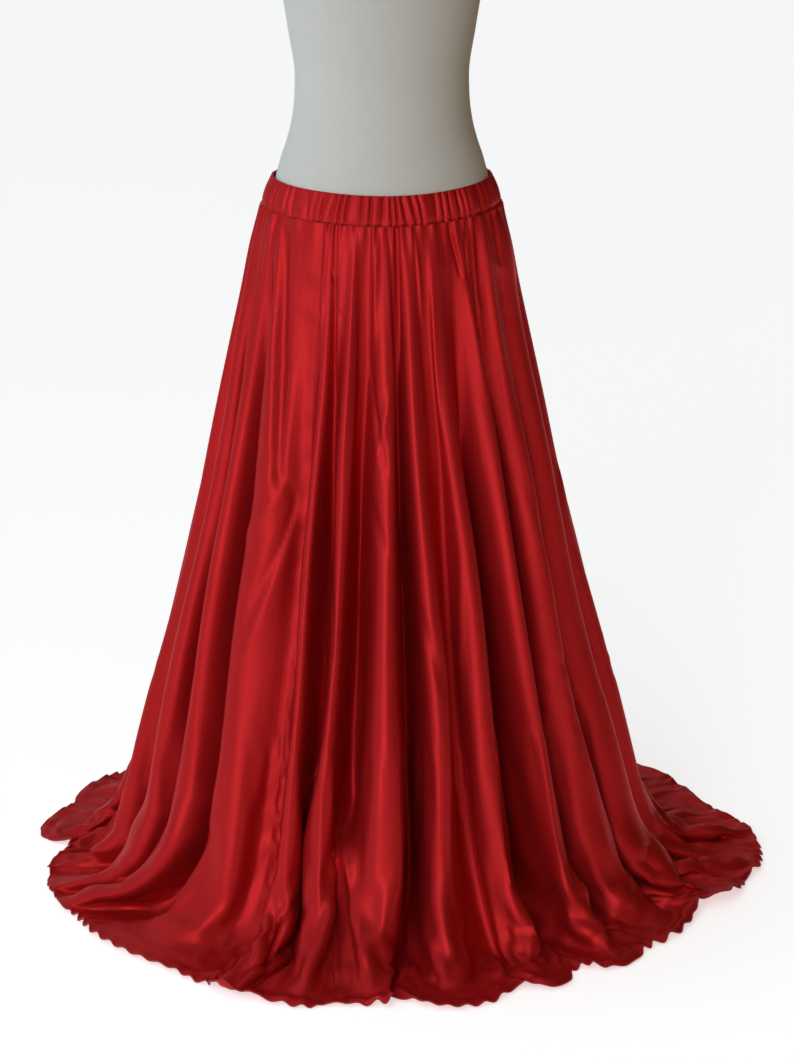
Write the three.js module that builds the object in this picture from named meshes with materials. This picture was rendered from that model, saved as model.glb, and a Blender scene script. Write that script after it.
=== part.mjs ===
// Circle skirt on a dress form: a floor-length full circle of satin, gathered on an
// elastic casing, hung on the hips of a plain limbless form that stands on a round base.
// Millimetres, +Z up, front to -Y, floor at z = 0, origin under the middle of the base.
// Every angle runs from the front towards +X, in degrees.
import * as THREE from "three";

// Cloth
const CLOTH_WALL = 2; // thickness of the skirt's wall
const SEAM_GAP = 0.3; // clearance between two sewn pieces
const SEAT_GAP = 0.3; // clearance between two parts of the stand

// The skirt's mesh: columns round it and their waves
const COLUMNS_PER_FOLD = 8;
const GATHERS = 64; // small gathers round the waist
const COLUMNS_PER_RUFFLE = 2;
const GATHER_HEIGHT = 2.2; // small gathers just below the casing
const GATHER_REACH = 45; // how far down the small gathers fade out
const RUFFLE_HEIGHT = 5; // waves of the stretched hem
const RUFFLE_REACH = 60; // how far up from the hem they reach
const RUFFLE_OUTWARD = 0.5; // share of a ruffle's height that pushes it outwards
const UNEVENNESS = 0.35; // how much the small waves differ in height

// Sections of the skirt, from the casing to the hem: the distance down the cloth, the
// half-width and height of a fold's crest and of the trough beside it, the depth of the
// plan against its width, and how far the plan sits behind the middle.
const SECTIONS = [
  { down: 0, crest: 152, crestZ: 893, trough: 148, troughZ: 893, oval: 0.78, sway: 2 },
  { down: 50, crest: 165, crestZ: 845, trough: 154, troughZ: 844, oval: 0.79, sway: 2 },
  { down: 105, crest: 175.5, crestZ: 791, trough: 156, troughZ: 789, oval: 0.81, sway: 2 },
  { down: 180, crest: 191.5, crestZ: 718, trough: 161, troughZ: 714, oval: 0.84, sway: 2 },
  { down: 280, crest: 214, crestZ: 621, trough: 171, troughZ: 615, oval: 0.88, sway: 2 },
  { down: 390, crest: 239, crestZ: 514, trough: 173, troughZ: 506, oval: 0.92, sway: 1 },
  { down: 500, crest: 265, crestZ: 407, trough: 188, troughZ: 397, oval: 0.95, sway: 0 },
  { down: 610, crest: 291, crestZ: 300, trough: 207, troughZ: 289, oval: 0.98, sway: 0 },
  { down: 710, crest: 316.5, crestZ: 203, trough: 226, troughZ: 191, oval: 1, sway: 0 },
  { down: 790, crest: 343, crestZ: 127, trough: 250, troughZ: 112, oval: 1, sway: 0 },
  { down: 850, crest: 371, crestZ: 74, trough: 278, troughZ: 54, oval: 1, sway: 0 },
  { down: 900, crest: 406, crestZ: 38, trough: 318, troughZ: 11, oval: 1, sway: 0 },
  { down: 942, crest: 437, crestZ: 20, trough: 360, troughZ: 2, oval: 1, sway: 0 },
  { down: 980, crest: 462, crestZ: 9, trough: 398, troughZ: 2, oval: 1, sway: 0 },
];
const CLOTH_LENGTH = SECTIONS[SECTIONS.length - 1].down;
const KNEE = 450; // distance down the cloth of the folds' middle angle
const ANKLE = 780; // distance down the cloth where the folds start to spread on the floor
const GROUNDED = 900; // distance down the cloth where every trough lies on the floor
const FORMED = 260; // distance down the cloth where the folds have their full shape
const STEEP_HUNG = 0.75; // how upright a fold's two walls stand while it hangs
const STEEP_LYING = 0.35; // and on the floor
const BROAD_HUNG = 0.55; // how much wider a fold's crest is than its trough while it hangs
const BROAD_LYING = 0.6; // and on the floor
const LEAN_LYING = 0.3; // how much of its lean a fold keeps on the floor

// Folds, in order round the skirt. Each row gives the angle of the trough at the fold's
// near side at the waist, knee, ankle and hem, how deep that trough is against the
// section's, how far it draws the hem in, how far the crest leans towards the next fold,
// how far the crest's hem reaches past the section's, and how high it stands there.
const PANELS = [
  {
    name: "skirt_panel_front",
    folds: [
      { waist: -43, knee: -37.5, ankle: -37, hem: -38, deep: 0.5, notch: 4, lean: 1, reach: 8, arch: 7 },
      { waist: -34, knee: -29.7, ankle: -29, hem: -28, deep: 0.8, notch: 8, lean: 1, reach: -2, arch: 10 },
      { waist: -16.8, knee: -18.9, ankle: -21, hem: -17, deep: 0.9, notch: 12, lean: 2, reach: -16, arch: 12 },
      { waist: -3, knee: -1.7, ankle: -1, hem: -7, deep: 1.1, notch: 26, lean: -1, reach: 0, arch: 8 },
      { waist: 11, knee: 12, ankle: 11, hem: 12.5, deep: 0.5, notch: 30, lean: -2, reach: -12, arch: 11 },
      { waist: 31, knee: 26.8, ankle: 26.8, hem: 23, deep: 1.1, notch: 34, lean: 1, reach: -22, arch: 12 },
      { waist: 45, knee: 38.5, ankle: 34.5, hem: 37, deep: 1, notch: 14, lean: 2, reach: -32, arch: 8 },
    ],
  },
  {
    name: "skirt_panel_left",
    folds: [
      { waist: 62, knee: 52.6, ankle: 51, hem: 56, deep: 1, notch: 22, lean: 2, reach: 6, arch: 8 },
      { waist: 76, knee: 70, ankle: 69, hem: 73, deep: 0.9, notch: 8, lean: 0, reach: 24, arch: 10 },
      { waist: 89, knee: 85, ankle: 84, hem: 87, deep: 1.05, notch: 5, lean: -2, reach: 22, arch: 8 },
      { waist: 102, knee: 99, ankle: 99, hem: 100, deep: 0.8, notch: 12, lean: 1, reach: 15, arch: 11 },
      { waist: 116, knee: 114, ankle: 113, hem: 113, deep: 1, notch: 9, lean: 2, reach: 26, arch: 9 },
      { waist: 129, knee: 129, ankle: 129, hem: 128, deep: 0.9, notch: 20, lean: -1, reach: 22, arch: 11 },
    ],
  },
  {
    name: "skirt_panel_back",
    folds: [
      { waist: 143, knee: 143, ankle: 144, hem: 143, deep: 1, notch: 8, lean: 1, reach: 12, arch: 8 },
      { waist: 158, knee: 159, ankle: 158, hem: 160, deep: 0.7, notch: 16, lean: -2, reach: 22, arch: 12 },
      { waist: 172, knee: 173, ankle: 174, hem: 174, deep: 1.1, notch: 34, lean: 1, reach: 6, arch: 9 },
      { waist: 188, knee: 187, ankle: 187, hem: 189, deep: 0.9, notch: 6, lean: 2, reach: 16, arch: 11 },
      { waist: 203, knee: 203, ankle: 203, hem: 204, deep: 1, notch: 22, lean: -1, reach: 10, arch: 8 },
      { waist: 218, knee: 218, ankle: 219, hem: 219, deep: 0.8, notch: 10, lean: 1, reach: 8, arch: 10 },
    ],
  },
  {
    name: "skirt_panel_right",
    folds: [
      { waist: 233, knee: 233, ankle: 233, hem: 234, deep: 1, notch: 12, lean: 1, reach: 6, arch: 9 },
      { waist: 245, knee: 247, ankle: 247, hem: 251, deep: 0.9, notch: 34, lean: -1, reach: -32, arch: 7 },
      { waist: 257, knee: 260, ankle: 261, hem: 260, deep: 1, notch: 6, lean: -1, reach: -24, arch: 10 },
      { waist: 268, knee: 273, ankle: 275, hem: 268, deep: 0.8, notch: 5, lean: 2, reach: -22, arch: 8 },
      { waist: 279, knee: 285, ankle: 289, hem: 276.5, deep: 0.6, notch: 4, lean: 1, reach: -26, arch: 8 },
      { waist: 291, knee: 298, ankle: 304, hem: 286, deep: 1.05, notch: 8, lean: -2, reach: -28, arch: 6 },
    ],
  },
];
const FOLDS = PANELS.flatMap((panel) => panel.folds);
const COLUMNS = FOLDS.length * COLUMNS_PER_FOLD;

// Casing: the gathered tube of cloth over the elastic
const BAND_HEIGHT = 36;
const BAND_WALL = 2.6;
const BAND_BULGE = 1.5; // the elastic rounds the casing between its edges
const BAND_TOP_HALF_WIDTH = 142;
const BAND_FRONT_DIP = 12; // the waistline sits lower in front
const BAND_GATHER_HEIGHT = 2.4;
const BAND_ROWS = [1, 0.5, 0]; // heights of its rows as shares of its height, from the top

// Stand
const BASE_RADIUS = 160;
const BASE_HEIGHT = 14;
const BASE_ROUNDING = 4;
const ROUNDING_MIDDLE = 0.3; // where the rounded edge's middle point is, as a share of it
const POLE_RADIUS = 14;
const POLE_SIDES = 24;
const ROUND_SIDES = 36;

// Neck cap: its height at shares of the neck's own radius, from its rim to its middle
const CAP_DOME = [
  { reach: 1, height: 11 },
  { reach: 0.94, height: 13.5 },
  { reach: 0.6, height: 15.4 },
  { reach: 0, height: 16 },
];

// Torso: rings from its underside to the top of the neck, with the half-width, the depth
// in front of the middle and the depth behind it.
const TORSO_COLUMNS = 32;
const TORSO_SQUARENESS = 2.05; // exponent of the rings' superellipse
const TORSO = [
  { z: 748, width: 112, front: 80, back: 86 },
  { z: 752, width: 127, front: 93, back: 99 },
  { z: 764, width: 138, front: 101, back: 108 },
  { z: 800, width: 146, front: 107, back: 115 },
  { z: 842, width: 148, front: 108.5, back: 117 },
  { z: 882, width: 143, front: 106, back: 112 },
  { z: 945, width: 128.5, front: 98, back: 97 },
  { z: 970, width: 120, front: 93, back: 90 },
  { z: 995, width: 113.5, front: 88, back: 84 },
  { z: 1022, width: 110, front: 84, back: 79.5 },
  { z: 1050, width: 109, front: 82, back: 77.5 },
  { z: 1112, width: 117.5, front: 87, back: 83.5 },
  { z: 1148, width: 123, front: 93, back: 89 },
  { z: 1195, width: 129, front: 102, back: 94 },
  { z: 1240, width: 134, front: 112, back: 98 },
  { z: 1275, width: 137, front: 116, back: 101 },
  { z: 1350, width: 146, front: 97, back: 102 },
  { z: 1382, width: 151, front: 85, back: 96 },
  { z: 1408, width: 145, front: 75, back: 85 },
  { z: 1428, width: 122, front: 66, back: 74 },
  { z: 1444, width: 91, front: 58, back: 64 },
  { z: 1460, width: 67, front: 52, back: 55 },
  { z: 1482, width: 56, front: 48, back: 48 },
  { z: 1512, width: 53, front: 46, back: 45 },
];

const RED_SATIN = { color: 0xa5161a, roughness: 0.38, metalness: 0 };
const FORM_JERSEY = { color: 0xd9d6cc, roughness: 0.7, metalness: 0 };
const PALE_WOOD = { color: 0xc9a877, roughness: 0.5, metalness: 0 };
const BRUSHED_STEEL = { color: 0x9a9c9f, roughness: 0.35, metalness: 1 };

const radians = (degrees) => (degrees * Math.PI) / 180;
const mix = (from, to, share) => from + (to - from) * share;
const clamp01 = (value) => Math.min(1, Math.max(0, value));
const ease = (value) => {
  const share = clamp01(value);
  return share * share * (3 - 2 * share);
};

// The skirt's section at a distance down the cloth, straight between the table's rows.
function sectionAt(down) {
  const upper = Math.max(1, SECTIONS.findIndex((row) => row.down >= down));
  const [above, below] = [SECTIONS[upper - 1], SECTIONS[upper]];
  const share = (down - above.down) / (below.down - above.down);
  const section = {};
  for (const key of Object.keys(above)) section[key] = mix(above[key], below[key], share);
  return section;
}

// The angle of a fold's trough: a soft curve through waist, knee and ankle, then the
// sweep of the cloth on the floor.
function troughAngle(fold, down) {
  const share = Math.min(down, ANKLE) / ANKLE;
  const middle = KNEE / ANKLE;
  const bend = (fold.knee - mix(fold.waist, fold.ankle, middle)) / (middle * (1 - middle));
  const hung = mix(fold.waist, fold.ankle, share) + bend * share * (1 - share);
  const spread = ease((down - ANKLE) / (CLOTH_LENGTH - ANKLE));
  return hung + (fold.hem - fold.ankle) * spread;
}

// How much lower the waistline sits at an angle, fading out down the skirt.
function waistDip(angle, down) {
  const front = (1 + Math.cos(radians(angle))) / 2;
  return BAND_FRONT_DIP * front * front * (1 - ease(down / KNEE));
}

// Plan radius of an oval with the given half-width and depth share, at an angle.
function ovalRadius(halfWidth, oval, angle) {
  const [across, along] = [Math.sin(radians(angle)), Math.cos(radians(angle)) / oval];
  return halfWidth / Math.hypot(across, along);
}

// A slow unevenness between -1 and 1 for the nth small wave.
const uneven = (n) => 0.6 * Math.sin(n * 2.4) + 0.4 * Math.sin(n * 1.1 + 2);

// The nth fold, counted on round the skirt, and the reach of the hem between it and the
// fold before it.
const foldAt = (n) => FOLDS[((n % FOLDS.length) + FOLDS.length) % FOLDS.length];
const reachBefore = (n) => (foldAt(n - 1).reach + foldAt(n).reach) / 2;

// A point of the skirt's outer face. Place counts folds and their fractions round the
// skirt: a fold's trough is at a whole number and its crest half-way to the next.
function skirtPoint(place, down) {
  const count = FOLDS.length;
  const index = Math.floor(place);
  const fraction = place - index;
  const fold = foldAt(index);
  const next = foldAt(index + 1);
  const laps = 360 * Math.floor(index / count);
  const nextLaps = 360 * Math.floor((index + 1) / count);
  const start = troughAngle(fold, down) + laps;
  const end = troughAngle(next, down) + nextLaps;
  const wrapped = end < start ? end + 360 : end;

  // Steep walls, a broad crest and a narrow trough, growing below the waist.
  const formed = ease(down / FORMED);
  const onFloor = ease((down - ANKLE) / (CLOTH_LENGTH - ANKLE));
  const steep = mix(STEEP_HUNG, STEEP_LYING, onFloor) * formed;
  const broad = mix(BROAD_HUNG, BROAD_LYING, onFloor) * formed;
  const turn = 2 * Math.PI * fraction;
  const across = fraction + (steep * Math.sin(2 * turn)) / (4 * Math.PI)
    - (broad * Math.sin(turn)) / (2 * Math.PI);
  const rise = (1 - Math.cos(turn)) / 2;
  const lean = fold.lean * mix(1, LEAN_LYING, onFloor) * formed;
  const angle = mix(start, wrapped, across) + lean * rise;

  const section = sectionAt(down);
  const nearer = ease(fraction);
  const deep = mix(fold.deep, next.deep, nearer);
  const drawnIn = mix(fold.notch, next.notch, nearer);
  const crest = section.crest + fold.reach * onFloor;
  const troughReach = mix(reachBefore(index), reachBefore(index + 1), nearer) * onFloor;
  const depth = mix((section.crest - section.trough) * deep, drawnIn, onFloor);
  const trough = section.crest + troughReach - depth;
  const crestZ = section.crestZ + (fold.arch - SECTIONS[SECTIONS.length - 1].crestZ) * onFloor;
  const hungZ = mix(section.crestZ, section.troughZ, deep);
  const troughZ = mix(hungZ, section.troughZ, ease((down - ANKLE) / (GROUNDED - ANKLE)));

  const column = Math.round(place * COLUMNS_PER_FOLD);
  const gather = Math.cos((2 * Math.PI * GATHERS * column) / COLUMNS);
  const variation = 1 + UNEVENNESS * uneven(column);
  const gatherSize = GATHER_HEIGHT * variation * Math.exp(-down / GATHER_REACH);
  const ruffle = Math.cos((2 * Math.PI * column) / COLUMNS_PER_RUFFLE);
  const nearHem = clamp01(1 - (CLOTH_LENGTH - down) / RUFFLE_REACH);
  const ruffleSize = RUFFLE_HEIGHT * variation * nearHem;

  const halfWidth = mix(trough, crest, rise) + gather * gatherSize;
  const outward = ruffle * ruffleSize * RUFFLE_OUTWARD;
  const radius = ovalRadius(halfWidth, section.oval, angle) + outward;
  const lift = ruffle * ruffleSize * rise;
  const height = mix(troughZ, crestZ, rise) - waistDip(angle, down) + lift;
  return new THREE.Vector3(
    radius * Math.sin(radians(angle)),
    -radius * Math.cos(radians(angle)) + section.sway,
    Math.max(height, CLOTH_WALL),
  );
}

// The outward normal of a grid of points at a row and column, from its neighbours.
function gridNormal(at, row, column, rows) {
  const along = at(row, column + 1).sub(at(row, column - 1));
  const upper = Math.max(row - 1, 0);
  const lower = Math.min(row + 1, rows - 1);
  const down = at(lower, column).sub(at(upper, column));
  return down.cross(along).normalize();
}

// A closed wall over a grid of outer points: outer and inner faces joined along the top
// and bottom edges, and along both sides when it doesn't go all round.
function wallGeometry(outer, inner, allRound) {
  const rows = outer.length;
  const columns = outer[0].length;
  const positions = [...outer.flat(), ...inner.flat()].flatMap((p) => [p.x, p.y, p.z]);
  const indices = [];
  const onOuter = (row, column) => row * columns + (column % columns);
  const onInner = (row, column) => rows * columns + onOuter(row, column);
  const quad = (a, b, c, d) => indices.push(a, b, c, a, c, d);
  const last = allRound ? columns : columns - 1;
  for (let column = 0; column < last; column++) {
    for (let row = 0; row < rows - 1; row++) {
      quad(onOuter(row, column), onOuter(row + 1, column),
        onOuter(row + 1, column + 1), onOuter(row, column + 1));
      quad(onInner(row, column), onInner(row, column + 1),
        onInner(row + 1, column + 1), onInner(row + 1, column));
    }
    quad(onOuter(0, column), onOuter(0, column + 1),
      onInner(0, column + 1), onInner(0, column));
    quad(onOuter(rows - 1, column), onInner(rows - 1, column),
      onInner(rows - 1, column + 1), onOuter(rows - 1, column + 1));
  }
  if (!allRound) {
    for (let row = 0; row < rows - 1; row++) {
      quad(onOuter(row, 0), onInner(row, 0), onInner(row + 1, 0), onOuter(row + 1, 0));
      quad(onOuter(row, last), onOuter(row + 1, last),
        onInner(row + 1, last), onInner(row, last));
    }
  }
  const geometry = new THREE.BufferGeometry();
  geometry.setAttribute("position", new THREE.Float32BufferAttribute(positions, 3));
  geometry.setIndex(indices);
  geometry.computeVertexNormals();
  return geometry;
}

function namedMesh(name, geometry, finish) {
  const mesh = new THREE.Mesh(geometry, new THREE.MeshStandardMaterial(finish));
  mesh.name = name;
  return mesh;
}

// One panel: the folds from its first trough to the next panel's first.
function skirtPanel(panel, firstFold) {
  const firstColumn = firstFold * COLUMNS_PER_FOLD;
  const lastColumn = firstColumn + panel.folds.length * COLUMNS_PER_FOLD;
  const at = (row, column) => skirtPoint(column / COLUMNS_PER_FOLD, SECTIONS[row].down);
  const outer = [];
  const inner = [];
  for (let row = 0; row < SECTIONS.length; row++) {
    const outerRow = [];
    const innerRow = [];
    for (let column = firstColumn; column <= lastColumn; column++) {
      const point = at(row, column);
      const side = column === firstColumn ? 1 : column === lastColumn ? -1 : 0;
      const inward = at(row, column + side).sub(point).setLength(side ? SEAM_GAP / 2 : 0);
      const normal = gridNormal(at, row, column, SECTIONS.length);
      point.add(inward);
      const under = point.clone().addScaledVector(normal, -CLOTH_WALL);
      under.z = Math.max(under.z, 0);
      outerRow.push(point);
      innerRow.push(under);
    }
    outer.push(outerRow);
    inner.push(innerRow);
  }
  return namedMesh(panel.name, wallGeometry(outer, inner, false), RED_SATIN);
}

// The casing: its lower edge meets the skirt's top edge, and its gathers run up it.
function waistband() {
  const seam = SECTIONS[0];
  const bottomZ = seam.crestZ + SEAM_GAP;
  const outer = [];
  const inner = [];
  for (const share of BAND_ROWS) {
    const outerRow = [];
    const innerRow = [];
    for (let column = 0; column < COLUMNS; column++) {
      const angle = (360 * column) / COLUMNS;
      const gather = Math.cos((2 * Math.PI * GATHERS * column) / COLUMNS);
      const bulge = BAND_BULGE * Math.sin(Math.PI * share);
      const size = BAND_GATHER_HEIGHT * (1 + UNEVENNESS * uneven(column));
      const halfWidth = mix(seam.crest, BAND_TOP_HALF_WIDTH, share) + bulge + (gather * size) / 2;
      const z = bottomZ + BAND_HEIGHT * share - waistDip(angle, 0);
      const place = (reach) => {
        const radius = ovalRadius(reach, seam.oval, angle);
        const turn = radians(angle);
        return new THREE.Vector3(radius * Math.sin(turn), -radius * Math.cos(turn) + seam.sway, z);
      };
      outerRow.push(place(halfWidth));
      innerRow.push(place(halfWidth - BAND_WALL));
    }
    outer.push(outerRow);
    inner.push(innerRow);
  }
  return namedMesh("waistband", wallGeometry(outer, inner, true), RED_SATIN);
}

// The form's torso: superellipse rings, closed by a flat fan at each end.
function torso() {
  const positions = [];
  const indices = [];
  const power = 2 / TORSO_SQUARENESS;
  for (const ring of TORSO) {
    for (let column = 0; column < TORSO_COLUMNS; column++) {
      const turn = (2 * Math.PI * column) / TORSO_COLUMNS;
      const [across, along] = [Math.sin(turn), -Math.cos(turn)];
      const depth = along < 0 ? ring.front : ring.back;
      positions.push(
        Math.sign(across) * Math.abs(across) ** power * ring.width,
        Math.sign(along) * Math.abs(along) ** power * depth,
        ring.z,
      );
    }
  }
  const last = TORSO.length - 1;
  for (let ring = 0; ring < last; ring++) {
    for (let column = 0; column < TORSO_COLUMNS; column++) {
      const next = (column + 1) % TORSO_COLUMNS;
      const [a, b] = [ring * TORSO_COLUMNS + column, ring * TORSO_COLUMNS + next];
      indices.push(a, b, b + TORSO_COLUMNS, a, b + TORSO_COLUMNS, a + TORSO_COLUMNS);
    }
  }
  const under = positions.length / 3;
  positions.push(0, 0, TORSO[0].z, 0, 0, TORSO[last].z);
  for (let column = 0; column < TORSO_COLUMNS; column++) {
    const next = (column + 1) % TORSO_COLUMNS;
    indices.push(under, next, column);
    indices.push(under + 1, last * TORSO_COLUMNS + column, last * TORSO_COLUMNS + next);
  }
  const geometry = new THREE.BufferGeometry();
  geometry.setAttribute("position", new THREE.Float32BufferAttribute(positions, 3));
  geometry.setIndex(indices);
  geometry.computeVertexNormals();
  return namedMesh("form_torso", geometry, FORM_JERSEY);
}

// A solid turned about the vertical axis from profile points of radius and height.
function turned(name, profile, sides, finish) {
  const points = profile.map(([radius, height]) => new THREE.Vector2(radius, height));
  const geometry = new THREE.LatheGeometry(points, sides);
  geometry.rotateX(Math.PI / 2);
  return namedMesh(name, geometry, finish);
}

function neckCap() {
  const neck = TORSO[TORSO.length - 1];
  const dome = CAP_DOME.map((row) => [row.reach, row.height]);
  const profile = [[0, 0], [1, 0], ...dome];
  const cap = turned("form_neck_cap", profile, ROUND_SIDES, PALE_WOOD);
  cap.scale.set(neck.width, (neck.front + neck.back) / 2, 1);
  cap.position.set(0, (neck.back - neck.front) / 2, neck.z + SEAT_GAP);
  return cap;
}

function pole() {
  const foot = BASE_HEIGHT + SEAT_GAP;
  const top = TORSO[0].z - SEAT_GAP;
  const profile = [
    [0, foot],
    [POLE_RADIUS, foot],
    [POLE_RADIUS, top],
    [0, top],
  ];
  return turned("form_pole", profile, POLE_SIDES, BRUSHED_STEEL);
}

function base() {
  const profile = [
    [0, 0],
    [BASE_RADIUS, 0],
    [BASE_RADIUS, BASE_HEIGHT - BASE_ROUNDING],
    [BASE_RADIUS - BASE_ROUNDING * ROUNDING_MIDDLE, BASE_HEIGHT - BASE_ROUNDING * ROUNDING_MIDDLE],
    [BASE_RADIUS - BASE_ROUNDING, BASE_HEIGHT],
    [0, BASE_HEIGHT],
  ];
  return turned("form_base", profile, ROUND_SIDES, BRUSHED_STEEL);
}

const skirt = new THREE.Group();
skirt.add(waistband());
let firstFold = 0;
for (const panel of PANELS) {
  skirt.add(skirtPanel(panel, firstFold));
  firstFold += panel.folds.length;
}

const stand = new THREE.Group();
stand.add(torso(), neckCap(), pole(), base());

const skirtOnForm = new THREE.Group();
skirtOnForm.name = "circle_skirt_on_dress_form";
skirtOnForm.add(skirt, stand);

export default skirtOnForm;
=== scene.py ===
import math

import bpy
import numpy as np
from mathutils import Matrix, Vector


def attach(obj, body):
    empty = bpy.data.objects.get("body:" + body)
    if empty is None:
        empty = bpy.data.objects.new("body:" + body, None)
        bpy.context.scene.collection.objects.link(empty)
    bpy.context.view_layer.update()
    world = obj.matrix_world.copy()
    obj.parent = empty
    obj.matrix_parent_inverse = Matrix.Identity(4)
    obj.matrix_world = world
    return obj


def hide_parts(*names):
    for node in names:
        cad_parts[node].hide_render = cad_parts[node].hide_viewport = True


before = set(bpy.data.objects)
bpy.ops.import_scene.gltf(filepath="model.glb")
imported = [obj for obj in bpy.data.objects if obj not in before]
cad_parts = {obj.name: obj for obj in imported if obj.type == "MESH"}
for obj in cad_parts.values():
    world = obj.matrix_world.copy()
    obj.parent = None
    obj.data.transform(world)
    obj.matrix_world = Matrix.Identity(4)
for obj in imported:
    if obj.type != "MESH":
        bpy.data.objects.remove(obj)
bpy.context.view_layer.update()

# A floor-length full circle skirt of red satin on a limbless dress form. Metres, +Z up,
# front to -Y, floor at z = 0. Angles run from the front towards +X, in degrees.
MM = 0.001

# The photograph's camera, in pixels, degrees and metres; the sensor is in millimetres
PHOTO_LONG_SIDE = 1059
CAMERA_AZIMUTH = -10.0
CAMERA_DISTANCE = 4.0
CAMERA_HEIGHT = 1.65
CAMERA_PITCH = 16.56
CAMERA_FOCAL_PIXELS = 3221.5
SENSOR = 36.0
FORM_AXIS_OFFSET_PIXELS = 15
CAMERA_CLIP_END = 50.0


def make_camera():
    data = bpy.data.cameras.new("photo_camera")
    data.sensor_width = SENSOR
    data.lens = SENSOR * CAMERA_FOCAL_PIXELS / PHOTO_LONG_SIDE
    data.shift_x = FORM_AXIS_OFFSET_PIXELS / PHOTO_LONG_SIDE
    data.clip_end = CAMERA_CLIP_END
    camera = bpy.data.objects.new("photo_camera", data)
    turn, pitch = math.radians(CAMERA_AZIMUTH), math.radians(CAMERA_PITCH)
    out = Vector((math.sin(turn), -math.cos(turn), 0.0))
    camera.location = out * CAMERA_DISTANCE + Vector((0.0, 0.0, CAMERA_HEIGHT))
    ahead = -out * math.cos(pitch) - Vector((0.0, 0.0, math.sin(pitch)))
    camera.rotation_euler = ahead.to_track_quat("-Z", "Y").to_euler()
    bpy.context.scene.collection.objects.link(camera)
    bpy.context.scene.camera = camera


make_camera()

# Sections of the skirt, in millimetres: the distance down the cloth from the casing, a
# fold's crest and the trough beside it (half-width of the plan and height), the depth of
# the plan against its width, and how far the plan sits behind the middle.
SECTION_COLUMNS = ("down", "crest", "crest_z", "trough", "trough_z", "oval", "sway")
SECTIONS = np.array([
    (0, 152, 893, 148, 893, 0.78, 2),
    (50, 165, 845, 154, 844, 0.79, 2),
    (105, 175.5, 791, 156, 789, 0.81, 2),
    (180, 191.5, 718, 161, 714, 0.84, 2),
    (280, 214, 621, 171, 615, 0.88, 2),
    (390, 239, 514, 173, 506, 0.92, 1),
    (500, 265, 407, 188, 397, 0.95, 0),
    (610, 291, 300, 207, 289, 0.98, 0),
    (710, 316.5, 203, 226, 191, 1, 0),
    (790, 343, 127, 250, 112, 1, 0),
    (850, 371, 74, 278, 54, 1, 0),
    (900, 406, 38, 318, 11, 1, 0),
    (942, 437, 20, 360, 2, 1, 0),
    (980, 462, 9, 398, 2, 1, 0),
], dtype=float)
LENGTH = SECTIONS[-1, 0]
HEM_CREST_Z = SECTIONS[-1, 2]

# Distances down the cloth, in millimetres
FORMED = 260.0  # the folds have their own steepness, breadth and lean from here down
SHALLOW_TO = 430.0  # they have their full depth from here down
KNEE = 450.0
ANKLE = 780.0  # the cloth starts to turn out over the floor
GROUNDED = 900.0  # the troughs lie on the floor

# The folds' shape where they hang and where they lie
STEEP_HUNG, STEEP_LYING = 0.45, 0.35  # how steep their sides are
BROAD_HUNG, BROAD_LYING = 0.35, 0.5  # how broad their crests are
LEAN_LYING = 0.3  # the share of a crest's lean that is left at the hem
SHALLOW = 0.45  # the troughs' depth under the casing, against their full depth
CLOTH_LIFT = 2.0  # millimetres that the outer face stays above the floor
WAIST_FRONT_DIP = 12.0  # millimetres that the casing sits lower in front

# Folds in order round the skirt, panel by panel: the angle of the trough at the fold's
# near side at waist, knee, ankle and hem, that trough's depth against the section's, how
# far it draws the hem in, the crest's lean in degrees, its reach past the section's hem
# and its height at the hem.
FOLD_COLUMNS = ("waist", "knee", "ankle", "hem", "deep", "notch", "lean", "reach", "arch")
PANEL_FOLDS = {
    "skirt_panel_front": [
        (-43, -37.5, -37, -38, 0.5, 4, 1, 8, 7),
        (-34, -29.7, -29, -28, 0.8, 8, 1, -2, 10),
        (-16.8, -18.9, -21, -17, 0.9, 12, 2, -16, 12),
        (-3, -1.7, -1, -7, 1.1, 26, -1, 0, 8),
        (11, 12, 11, 12.5, 0.5, 30, -2, -12, 11),
        (31, 26.8, 26.8, 23, 1.1, 34, 1, -22, 12),
        (45, 38.5, 34.5, 37, 1, 14, 2, -32, 8),
    ],
    "skirt_panel_left": [
        (62, 52.6, 51, 56, 1, 22, 2, 6, 8),
        (76, 70, 69, 73, 0.9, 8, 0, 24, 10),
        (89, 85, 84, 87, 1.05, 5, -2, 22, 8),
        (102, 99, 99, 100, 0.8, 12, 1, 15, 11),
        (116, 114, 113, 113, 1, 9, 2, 26, 9),
        (129, 129, 129, 128, 0.9, 20, -1, 22, 11),
    ],
    "skirt_panel_back": [
        (143, 143, 144, 143, 1, 8, 1, 12, 8),
        (158, 159, 158, 160, 0.7, 16, -2, 22, 12),
        (172, 173, 174, 174, 1.1, 34, 1, 6, 9),
        (188, 187, 187, 189, 0.9, 6, 2, 16, 11),
        (203, 203, 203, 204, 1, 22, -1, 10, 8),
        (218, 218, 219, 219, 0.8, 10, 1, 8, 10),
    ],
    "skirt_panel_right": [
        (233, 233, 233, 234, 1, 12, 1, 6, 9),
        (245, 247, 247, 251, 0.9, 34, -1, -32, 7),
        (257, 260, 261, 260, 1, 6, -1, -24, 10),
        (268, 273, 275, 268, 0.8, 5, 2, -22, 8),
        (279, 285, 289, 276.5, 0.6, 4, 1, -26, 8),
        (291, 298, 304, 286, 1.05, 8, -2, -28, 6),
    ],
}
FOLDS = np.array([row for rows in PANEL_FOLDS.values() for row in rows], dtype=float)
FOLD_COUNT = len(FOLDS)
PANEL_STARTS = np.cumsum([0] + [len(rows) for rows in PANEL_FOLDS.values()])[:-1]

CUT_INNER_RADIUS = 0.145  # of the full ring of cloth that is cut out, in metres


def ease(value):
    share = np.clip(value, 0.0, 1.0)
    return share * share * (3 - 2 * share)


def mix(start, end, share):
    return start + (end - start) * share


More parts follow.
